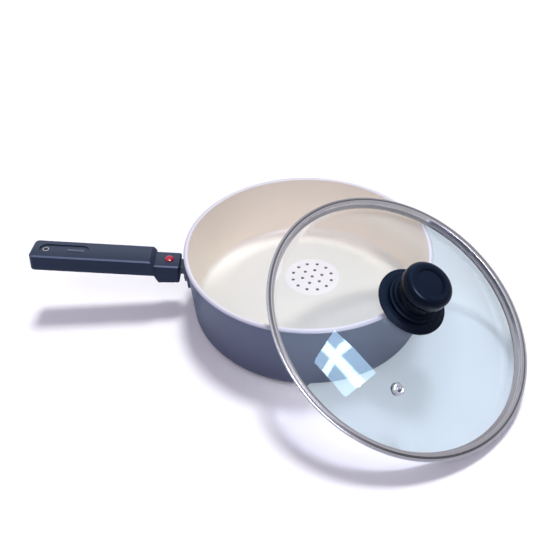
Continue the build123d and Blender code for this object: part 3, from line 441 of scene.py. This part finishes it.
        # painted light: the floor is painted paler towards the far wall, lifting the shadow that the wall
        # casts there.
        ring = nodes.remap(radius, *(r * MM for r in self.painted_light_ring))
        far = nodes.remap(y, *(back * MM for back in self.painted_light_far))
        edge = nodes.math("MULTIPLY", ring, far)
        pale = nodes.mix(edge, linear(self.ivory_floor_painted_shade), linear(self.ivory_edge_painted_light))
        colour = nodes.mix(low, linear(self.ivory), pale)
        aside = (nodes.math("SUBTRACT", part, centre * MM) for part, centre in zip((x, y), self.patch))
        edges = ((self.patch_r + self.patch_soft) * MM, (self.patch_r - self.patch_soft) * MM)
        patch = nodes.remap(nodes.length(*aside), *edges)
        colour = nodes.mix(nodes.math("MULTIPLY", patch, low), colour, linear(self.patch_white))
        stained = nodes.remap(cloud, *self.stain_body, 0.0, self.stain_share)
        return nodes.mix(stained, colour, linear(self.stain))

    def wall(
        self, nodes: NodeTree, z: bpy.types.NodeSocket, speckle: bpy.types.NodeSocket
    ) -> bpy.types.NodeSocket:
        """Gives the enamel's colour: painted shade towards the base, speckled, and pale at the rolled rim.
        """
        # painted shade: the outer wall is painted darker towards the base.
        down = nodes.remap(z, 0.0, self.painted_shade_z * MM, 1.0, 0.0)
        colour = nodes.mix(down, linear(self.outside), linear(self.outside_low_painted_shade))
        flecked = nodes.remap(speckle, *self.fleck_body, 0.0, self.fleck_share)
        colour = nodes.mix(flecked, colour, linear(self.fleck))
        on_lip = nodes.remap(z, (self.lip_z - self.soft) * MM, (self.lip_z + self.soft) * MM)
        return nodes.mix(on_lip, colour, linear(self.lip))

    def build(self) -> bpy.types.Material:
        """Makes the material."""
        material, nodes, shader = blank("ceramic_coated_aluminium")
        at = nodes.coordinate()
        place = nodes.split(at)
        radius = nodes.length(place[0], place[1])
        speckle = nodes.noise(at, self.fleck_scale)
        cloud = nodes.noise(at, self.stain_scale, 3.0)
        inside = self.in_bowl(nodes, radius, place[2])
        outer, inner = self.wall(nodes, place[2], speckle), self.bowl(nodes, place, radius, cloud)
        colour = nodes.mix(inside, outer, inner)
        # the rim's top: its pale colour with a painted highlight.
        colour = nodes.mix(self.on_rim(nodes, radius, place[2]), colour, linear(self.lip_white_painted_highlight))
        rough_in = nodes.remap(cloud, *NOISE_BODY, *self.rough_in)
        rough_out = nodes.remap(speckle, *NOISE_BODY, *self.rough_out)
        rough = nodes.math(
            "ADD", nodes.math("MULTIPLY", rough_in, inside),
            nodes.math("MULTIPLY", rough_out, nodes.math("SUBTRACT", 1.0, inside)),
        )
        strength, depth = self.relief
        bump = nodes.relief(speckle, strength, depth * MM)
        nodes.feed(shader, {"Base Color": colour, "Roughness": rough, "Normal": bump, "IOR": 1.5})
        return material


@dataclass(frozen=True)
class TemperedGlass:
    """Tempered soda-lime glass, faintly blue: clear, and passing slightly cooled light to the table.

    Attributes:
        tint: Colour of the glass.
        tint_far: Colour that its slight unevenness runs to.
        shadow_tint: Colour of the light that it lets through to what lies below.
        ior: Index of refraction.
        gleam: Colour of what it reflects face on.
        ripple_scale: Scale of the slight unevenness.
        ripple: Strength of its relief, and its depth in millimetres.
    """

    tint: str = "#FBFCFC"
    tint_far: str = "#FDFEFE"
    shadow_tint: str = "#E4E6EE"
    ior: float = 1.5
    gleam: str = "#CDF2FF"
    ripple_scale: float = 22.0
    ripple: tuple[float, float] = (0.03, 0.2)

    def build(self) -> bpy.types.Material:
        """Makes the material: refracting to the eye, and letting light through to the table."""
        material, nodes, shader = blank("tempered_soda_lime_glass")
        ripple = nodes.noise(nodes.coordinate(), self.ripple_scale, 1.0)
        strength, depth = self.ripple
        film = nodes.mix(nodes.remap(ripple, *NOISE_BODY), linear(self.tint), linear(self.tint_far))
        nodes.feed(
            shader,
            {
                "Base Color": film,
                "Normal": nodes.relief(ripple, strength, depth * MM),
                "Transmission Weight": 1.0,
                "Roughness": 0.0,
                "IOR": self.ior,
                "Specular Tint": linear(self.gleam),
            },
        )
        clear = nodes.add("ShaderNodeBsdfTransparent", {"Color": linear(self.shadow_tint)}).outputs[0]
        in_shadow = nodes.add("ShaderNodeLightPath").outputs["Is Shadow Ray"]
        pick = nodes.add("ShaderNodeMixShader", {0: in_shadow, 1: shader.outputs[0], 2: clear})
        nodes.feed(nodes.tree.nodes["Material Output"], {"Surface": pick.outputs[0]})
        return material


# ------------------------------------------------------------------ sub-assemblies
def smooth(node: bpy.types.Object, angle: float = 32.0) -> None:
    """Shades a carried-over solid smoothly and keeps its real edges.

    Args:
        node: The CAD node's object.
        angle: Faces that meet at more than this angle, in degrees, keep their edge.
    """
    mesh = node.data
    mesh.polygons.foreach_set("use_smooth", [True] * len(mesh.polygons))
    for name in ("custom_normal", "sharp_face", "sharp_edge"):
        if name in mesh.attributes:
            mesh.attributes.remove(mesh.attributes[name])
    weld = node.modifiers.new("weld", "WELD")
    weld.merge_threshold = WELD_REACH
    split = node.modifiers.new("edges", "EDGE_SPLIT")
    split.split_angle = math.radians(angle)


def dress(finishes: dict[str, bpy.types.Material]) -> None:
    """Gives each named CAD node its material and smooth shading."""
    for name, material in finishes.items():
        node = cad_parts[name]
        node.data.materials.clear()
        node.data.materials.append(material)
        smooth(node)
        LOG.info("dressed %s with %s", name, material.name)


@dataclass
class Pan:
    """The pan's body with what is fixed to it.

    Attributes:
        enamel: Ivory ceramic inside and blue-grey enamel outside.
        base: Bonded steel disc, which shows as a bright ring-brushed edge under the pan.
        ink: Matt near-black print of the heat indicator's dots.
        bracket: Grainy dark metal that the handle clips on.
    """

    enamel: PanEnamel = field(default_factory=PanEnamel)
    base: Finish = Finish(
        "brushed_430_stainless", "#B9B9BB", "#9FA0A4", metallic=1.0, roughness=0.32,
        grain=Grain.BRUSHED_ROUND, grain_mm=0.7, bump=0.15,
    )
    ink: Finish = Finish("indicator_ink", "#2E2E34", "#3A3A40", roughness=0.5)
    bracket: Finish = Finish(
        "blasted_die_cast_aluminium", "#4C5060", "#5C6070", metallic=0.6, roughness=0.42,
        grain_mm=0.3, bump=0.12,
    )

    def build(self) -> None:
        """Dresses the pan's nodes."""
        bracket = self.bracket.build()
        dress(
            {
                "pan_body": self.enamel.build(),
                "induction_disc": self.base.build(),
                "indicator_dots": self.ink.build(),
                "bracket_flange": bracket,
                "bracket_tongue": bracket,
                "bracket_studs": bracket,
            }
        )


@dataclass
class Handle:
    """The detachable handle with its latch, button and fittings.

    Attributes:
        shell: Satin slate moulding, with a painted sheen where it faces up and a painted highlight along its
            chamfers.
        button: Glossy red button, the one bright colour on the object.
        steel: Dull zinc on the screws and the rivet.
        eyelet: Bright ring of the hanging eye.
        spring: Dark blued leaf of the latch.
        inlay: Grey strip that stands out softly from the recess.
        root: Where the handle's axis meets the pan, in millimetres.
        slope: Rise of the handle's axis, in degrees.
        bend: Distances from the root, in millimetres, between which the leaf's copy is cut: the leaf is
        held up to the first, just past its seat, and would move fully with the button from the second.
        bend_cuts: How many cuts are made across the leaf's mesh between the two.
    """

    # painted sheen on the top and painted highlight on the chamfers of the slate moulding.
    shell: Finish = Finish(
        "moulded_phenolic_slate", "#212A3E", "#293246", roughness=0.36, rough_spread=0.05,
        grain_mm=0.35, bump=0.10, ior=1.42,
        painted_sheen="#3E4757", painted_chamfer_highlight="#5C6880", gleam="#C4D0E8",
    )
    button: Finish = Finish(
        "gloss_red_abs", "#C11A36", "#B01630", roughness=0.2, grain_mm=0.6, bump=0.02, coat=0.5
    )
    steel: Finish = Finish(
        "zinc_plated_steel", "#B4B4B8", "#9A9AA0", metallic=1.0, roughness=0.3, grain_mm=0.4
    )
    eyelet: Finish = Finish(
        "bright_nickel", "#F2F2F4", "#E2E2E6", metallic=1.0, roughness=0.22, grain_mm=0.4
    )
    spring: Finish = Finish(
        "blued_spring_steel", "#6C6E78", "#585A66", metallic=1.0, roughness=0.35, grain_mm=0.3
    )
    inlay: Finish = Finish("satin_grey_abs", "#555B6E", "#60667A", roughness=0.32, grain_mm=0.4, bump=0.06)
    root: tuple[float, float, float] = (-124.0, 0.0, 51.6)
    slope: float = 6.24
    bend: tuple[float, float] = (16.7, 14.7)
    bend_cuts: int = 7

    def along(self, reach: float) -> Vector:
        """Gives the point on the handle's axis at a distance from its root, in millimetres."""
        slope = math.radians(self.slope)
        return (Vector(self.root) + reach * Vector((-math.cos(slope), 0, math.sin(slope)))) * MM

    def bending_leaf(self, material: bpy.types.Material) -> None:
        """Makes a copy of the latch's leaf, cut across between the bend distances, and hides the leaf
        itself.

        Args:
            material: The leaf's spring steel.
        """
        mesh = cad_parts["latch_leaf"].data.copy()
        held, pressed = self.bend
        work = bmesh.new()
        work.from_mesh(mesh)
        for step in range(self.bend_cuts):
            reach = held + (pressed - held) * step / (self.bend_cuts - 1)
            bmesh.ops.bisect_plane(
                work, geom=work.verts[:] + work.edges[:] + work.faces[:],
                plane_co=self.along(reach), plane_no=self.along(1) - self.along(0),
            )
        work.to_mesh(mesh)
        work.free()
        mesh.materials.clear()
        mesh.materials.append(material)
        leaf = bpy.data.objects.new("bending_latch_leaf", mesh)
        bpy.context.scene.collection.objects.link(leaf)
        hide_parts("latch_leaf")
        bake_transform(leaf)

    def build(self) -> None:
        """Dresses the handle's nodes."""
        shell, steel, spring = self.shell.build(), self.steel.build(), self.spring.build()
        dress(
            {
                "handle_upper_shell": shell,
                "handle_lower_shell": shell,
                "latch_housing": shell,
                "release_button": self.button.build(),
                "latch_leaf": spring,
                "leaf_rivet": steel,
                "grip_screws": steel,
                "spigot_screws": steel,
                "hanging_eyelet": self.eyelet.build(),
                "handle_inlay": self.inlay.build(),
            }
        )
        self.bending_leaf(spring)


@dataclass
class Lid:
    """The domed glass lid with its band, vent and knob.

    Attributes:
        glass: Clear glass with a cool gleam.
        axis: Centre of the lid's band, in metres.
        turn: Direction of the lid's axis.
        painted_valley_shade: Inner and outer radius of the painted shade line in the band's valley, in
            millimetres.
        grommet: Small bright ring round the steam hole.
        knob: Near-black polished moulding, with a painted blue reflection where it faces up.
        rubber: Soft grey of the seals under the knob.
        brass: Yellow thread bush inside the knob.
    """

    glass: TemperedGlass = field(default_factory=TemperedGlass)
    axis: tuple[float, float, float] = (0.07275, -0.0831, 0.05112)
    turn: tuple[float, float, float] = (0.29365, -0.33543, 0.89513)
    painted_valley_shade: tuple[float, float] = (116.9, 118.6)
    grommet: Finish = Finish(
        "polished_steel_grommet", "#F0F0F2", "#E4E4E8", metallic=1.0, roughness=0.16, grain_mm=0.4
    )
    # painted reflection: the knob's faces that look up are painted bluer.
    knob: Finish = Finish(
        "polished_black_phenolic", "#040914", "#080F1D", roughness=0.26, rough_spread=0.04,
        grain_mm=0.8, bump=0.02, ior=1.30, gleam="#A2B8E2", painted_sheen="#20344C",
    )
    rubber: Finish = Finish("grey_silicone", "#8C93A0", "#9AA0AC", roughness=0.6, grain_mm=0.3, bump=0.05)
    brass: Finish = Finish("turned_brass", "#B8954F", "#A5823F", metallic=1.0, roughness=0.28, grain_mm=0.3)

    def band(self) -> Finish:
        """Gives the bright rolled band: brushed round the rim, with a line of painted shade in the valley
        where it folds.
        """
        return Finish(
            "rolled_stainless_band", "#D8D6D8", "#C8C6CA", metallic=1.0, roughness=0.2, rough_spread=0.04,
            grain=Grain.BRUSHED_ROUND, grain_mm=0.5, bump=0.06, axis=self.axis, turn=self.turn,
            # painted shade: a dark line in the valley between the band's bead and its crown.
            painted_valley_shade=self.painted_valley_shade,
        )

    def build(self) -> None:
        """Dresses the lid's nodes."""
        band, knob = self.band().build(), self.knob.build()
        rubber, grommet = self.rubber.build(), self.grommet.build()
        dress(
            {
                "lid_glass": self.glass.build(),
                "lid_band": band,
                "vent_grommet": grommet,
                "vent_washer": grommet,
                "knob_body": knob,
                "knob_disc": knob,
                "knob_insert": self.brass.build(),
                "knob_gasket": rubber,
                "under_gasket": rubber,
                "knob_washer": band,
                "knob_screw": band,
            }
        )


# ------------------------------------------------------------------ studio
@dataclass(frozen=True)
class Sun:
    """A distant light.

    Attributes:
        name: The light's name.
        strength: Its strength.
        angle: How wide it looks, in degrees; wider makes softer shadows.
        source: Direction that it shines from.
        tint: Its colour.
    """

    name: str
    strength: float
    angle: float
    source: tuple[float, float, float]
    tint: str

    def build(self) -> None:
        """Adds the light, which no surface mirrors."""
        data = bpy.data.lights.new(self.name, "SUN")
        data.energy = self.strength
        data.color = linear(self.tint)[:3]
        data.angle = math.radians(self.angle)
        lamp = bpy.data.objects.new(self.name, data)
        lamp.rotation_euler = Vector(self.source).to_track_quat("Z", "Y").to_euler()
        lamp.visible_glossy = False
        lamp.visible_transmission = False
        bpy.context.scene.collection.objects.link(lamp)


@dataclass(frozen=True)
class WindowCard:
    """A window overhead that shows only as a bright cross and dimmer panes in the glass.

    Attributes:
        corners: The card's corners, in metres.
        upright: Where the upright bar stands across the card, as a share of its width.
        upright_half: Half widths at which the upright bar ends and is full.
        crossbar: Where the crossbar lies.
        crossbar_half: Half widths at which the crossbar ends and is full.
        pane: Colour of the panes.
        bar: Colour of the bars.
        strengths: How bright the panes and the bars are.
    """

    corners: tuple[tuple[float, float, float], ...] = (
        (0.224, -0.451, 1.909), (0.816, -0.992, 1.537), (0.325, -1.352, 1.450), (-0.127, -0.911, 1.748),
    )
    upright: float = 0.34
    upright_half: tuple[float, float] = (0.10, 0.06)
    crossbar: float = 0.5
    crossbar_half: tuple[float, float] = (0.17, 0.10)
    pane: str = "#D6DEF0"
    bar: str = "#FFF6F2"
    strengths: tuple[float, float] = (15.0, 36.0)

    def build(self) -> None:
        """Adds the card."""
        mesh = bpy.data.meshes.new("window_card")
        mesh.from_pydata(list(self.corners), [], [(0, 1, 2, 3)])
        places = mesh.uv_layers.new(name="pane")
        for loop, place in enumerate(((0, 0), (1, 0), (1, 1), (0, 1))):
            places.data[loop].uv = place
        card = bpy.data.objects.new("window_card", mesh)
        bpy.context.scene.collection.objects.link(card)
        material, nodes, _ = blank("window_daylight")
        u, v, _ = nodes.split(nodes.coordinate("UV"))
        upright = nodes.remap(nodes.off(u, self.upright), *self.upright_half)
        crossbar = nodes.remap(nodes.off(v, self.crossbar), *self.crossbar_half)
        on_bar = nodes.math("MAXIMUM", upright, crossbar)
        colour = nodes.mix(on_bar, linear(self.pane), linear(self.bar))
        strength = nodes.remap(on_bar, 0.0, 1.0, *self.strengths)
        glow = nodes.add("ShaderNodeEmission", {"Color": colour, "Strength": strength}).outputs[0]
        nodes.feed(nodes.tree.nodes["Material Output"], {"Surface": glow})
        mesh.materials.append(material)
        card.visible_camera = False
        card.visible_diffuse = False
        card.visible_transmission = False
        card.visible_shadow = False


@dataclass(frozen=True)
class Table:
    """A white table top that looks bluer through the lid's glass.

    Attributes:
        half: Half the table's width, in metres.
        white: Colour to the eye.
        white_far: Colour that its slight mottle runs to.
        bounce: Colour of the light that it gives back to the object.
        under_glass: Colour that is seen through the glass.
        glow: Colour of a painted glow that it gives off where seen through the glass, lightening the shadows
            there.
        painted_glow_strength: Strength of that painted glow.
        mottle_scale: Scale of the mottle.
        roughness: How dull the laminate is.
        shine: How much it reflects, where 0.5 is usual.
    """

    half: float = 6.0
    white: str = "#FDFDFF"
    white_far: str = "#FBFBFE"
    bounce: str = "#C4CDD8"
    under_glass: str = "#A3AFB6"
    glow: str = "#D3E0EA"
    painted_glow_strength: float = 0.42
    mottle_scale: float = 40.0
    roughness: float = 0.8
    shine: float = 0.1

    def build(self) -> None:
        """Adds the table top, which holds the object's shadow."""
        mesh = bpy.data.meshes.new("table_top")
        corners = [(x * self.half, y * self.half, 0) for x, y in ((-1, -1), (1, -1), (1, 1), (-1, 1))]
        mesh.from_pydata(corners, [], [(0, 1, 2, 3)])
        table = bpy.data.objects.new("table_top", mesh)
        bpy.context.scene.collection.objects.link(table)
        material, nodes, shader = blank("white_laminate")
        mottle = nodes.remap(nodes.noise(nodes.coordinate(), self.mottle_scale), *NOISE_BODY)
        path = nodes.add("ShaderNodeLightPath").outputs
        through = path["Is Transmission Ray"]
        white = nodes.mix(mottle, linear(self.white), linear(self.white_far))
        under = nodes.mix(through, linear(self.bounce), linear(self.under_glass))
        nodes.feed(
            shader,
            {
                "Base Color": nodes.mix(path["Is Camera Ray"], under, white),
                # painted light: seen through the glass, the table glows, which lightens the shadows there.
                "Emission Strength": nodes.math("MULTIPLY", through, self.painted_glow_strength),
                "Emission Color": linear(self.glow),
                "Roughness": self.roughness,
                "Specular IOR Level": self.shine,
            },
        )
        mesh.materials.append(material)


@dataclass(frozen=True)
class Sky:
    """Even light from all round, and a room for bright surfaces to reflect.

    Attributes:
        strength: Strength of the even light.
        tint: Its colour.
        room: Height in the room, from 0 below to 1 above, and the colour reflected from there.
        left: Directions between which the left side's colour fades in.
        left_colour: Colour reflected from the left.
        front: Directions between which the front's colour fades in.
        front_colour: Colour reflected from the front.
        side_share: Most that a side's colour covers the room's.
    """

    strength: float = 0.37
    tint: str = "#F5EEFF"
    room: tuple[tuple[float, str], ...] = (
        (0.0, "#A6A7AE"), (0.16, "#CBD0DA"), (0.34, "#F4F6FA"), (0.5, "#BFC1C8"),
        (0.68, "#B4B2B8"), (0.80, "#CDCCD2"), (0.9, "#E9EAEF"), (1.0, "#F4F6FA"),
    )
    left: tuple[float, float] = (-0.95, -0.45)
    left_colour: str = "#DCE9F8"
    front: tuple[float, float] = (-0.9, -0.2)
    front_colour: str = "#6A6E7A"
    side_share: float = 0.55

    def build(self) -> None:
        """Makes the world: white to the eye, tinted as light, and a room in reflections."""
        world = bpy.data.worlds.new("studio")
        bpy.context.scene.world = world
        world.use_nodes = True
        nodes = NodeTree(world.node_tree)
        path = nodes.add("ShaderNodeLightPath").outputs
        x, y, z = nodes.split(nodes.coordinate("Generated"))
        room = nodes.ramp(z, self.room)
        for part, reach, colour in ((x, self.left, self.left_colour), (y, self.front, self.front_colour)):
            side = nodes.math("MULTIPLY", nodes.remap(part, *reach, 1.0, 0.0), self.side_share)
            room = nodes.mix(side, room, linear(colour))
        seen = nodes.math("MAXIMUM", path["Is Camera Ray"], path["Is Transmission Ray"])
        plain_colour = nodes.mix(seen, linear(self.tint), linear("#FFFFFF"))
        plain = nodes.remap(seen, 0.0, 1.0, self.strength, 1.0)
        nodes.feed(
            world.node_tree.nodes["Background"],
            {
                "Color": nodes.mix(path["Is Glossy Ray"], plain_colour, room),
                "Strength": nodes.math("MAXIMUM", plain, path["Is Glossy Ray"]),
            },
        )


@dataclass
class Studio:
    """White table, soft light and the camera.

    Attributes:
        lens: Focal length, in millimetres.
        shift: How far the picture's middle lies off the lens's axis, as shares of its width.
        elevation: How far the camera looks down, in degrees.
        azimuth: How far it stands round from the front, in degrees.
        roll: How far it is turned about its own axis, in degrees.
        position: Where it stands, in millimetres.
        sensor: Width of its sensor, in millimetres.
        clip: Nearest and furthest distance that it sees, in metres.
        parts: What lights the object and what it stands on.
    """

    lens: float = 38.5714
    shift: tuple[float, float] = (0.0151786, -0.1785714)
    elevation: float = 31.84
    azimuth: float = 0.42
    roll: float = -1.96
    position: tuple[float, float, float] = (-28.7, -467.05, 436.23)
    sensor: float = 36.0
    clip: tuple[float, float] = (0.01, 50.0)
    parts: tuple[Table | Sun | WindowCard | Sky, ...] = (
        Table(),
        Sun("key", 2.1, 13.0, (0.10, 0.26, 0.96), "#FFFFFF"),
        Sun("fill", 0.70, 40.0, (-0.12, -0.58, 0.80), Sky.tint),
        WindowCard(),
        Sky(),
    )

    def camera(self) -> None:
        """Stands the camera at the viewing angle."""
        data = bpy.data.cameras.new("camera")
        data.sensor_width = self.sensor
        data.lens = self.lens
        data.shift_x, data.shift_y = self.shift
        data.clip_start, data.clip_end = self.clip
        camera = bpy.data.objects.new("camera", data)
        lift, turn, roll = (math.radians(v) for v in (self.elevation, self.azimuth, self.roll))
        back = Vector((math.cos(lift) * math.sin(turn), -math.cos(lift) * math.cos(turn), math.sin(lift)))
        right = Vector((0, 0, 1)).cross(back).normalized()
        up = back.cross(right)
        rolled_right = right * math.cos(roll) + up * math.sin(roll)
        rolled_up = up * math.cos(roll) - right * math.sin(roll)
        stand = Matrix((rolled_right, rolled_up, back)).transposed().to_4x4()
        stand.translation = Vector(self.position) * MM
        camera.matrix_world = stand
        bpy.context.scene.collection.objects.link(camera)
        bpy.context.scene.camera = camera

    def build(self) -> None:
        """Builds the table, lights and camera, and sets how colours are shown."""
        for part in self.parts:
            part.build()
        self.camera()
        bpy.context.scene.view_settings.view_transform = "Standard"
        LOG.info("studio ready")


def main() -> None:
    """Builds the sub-assemblies and the studio in order."""
    logging.basicConfig(level=logging.INFO, format="%(message)s")
    for assembly in (Pan(), Handle(), Lid(), Studio()):
        assembly.build()


if __name__ == "__main__":
    main()
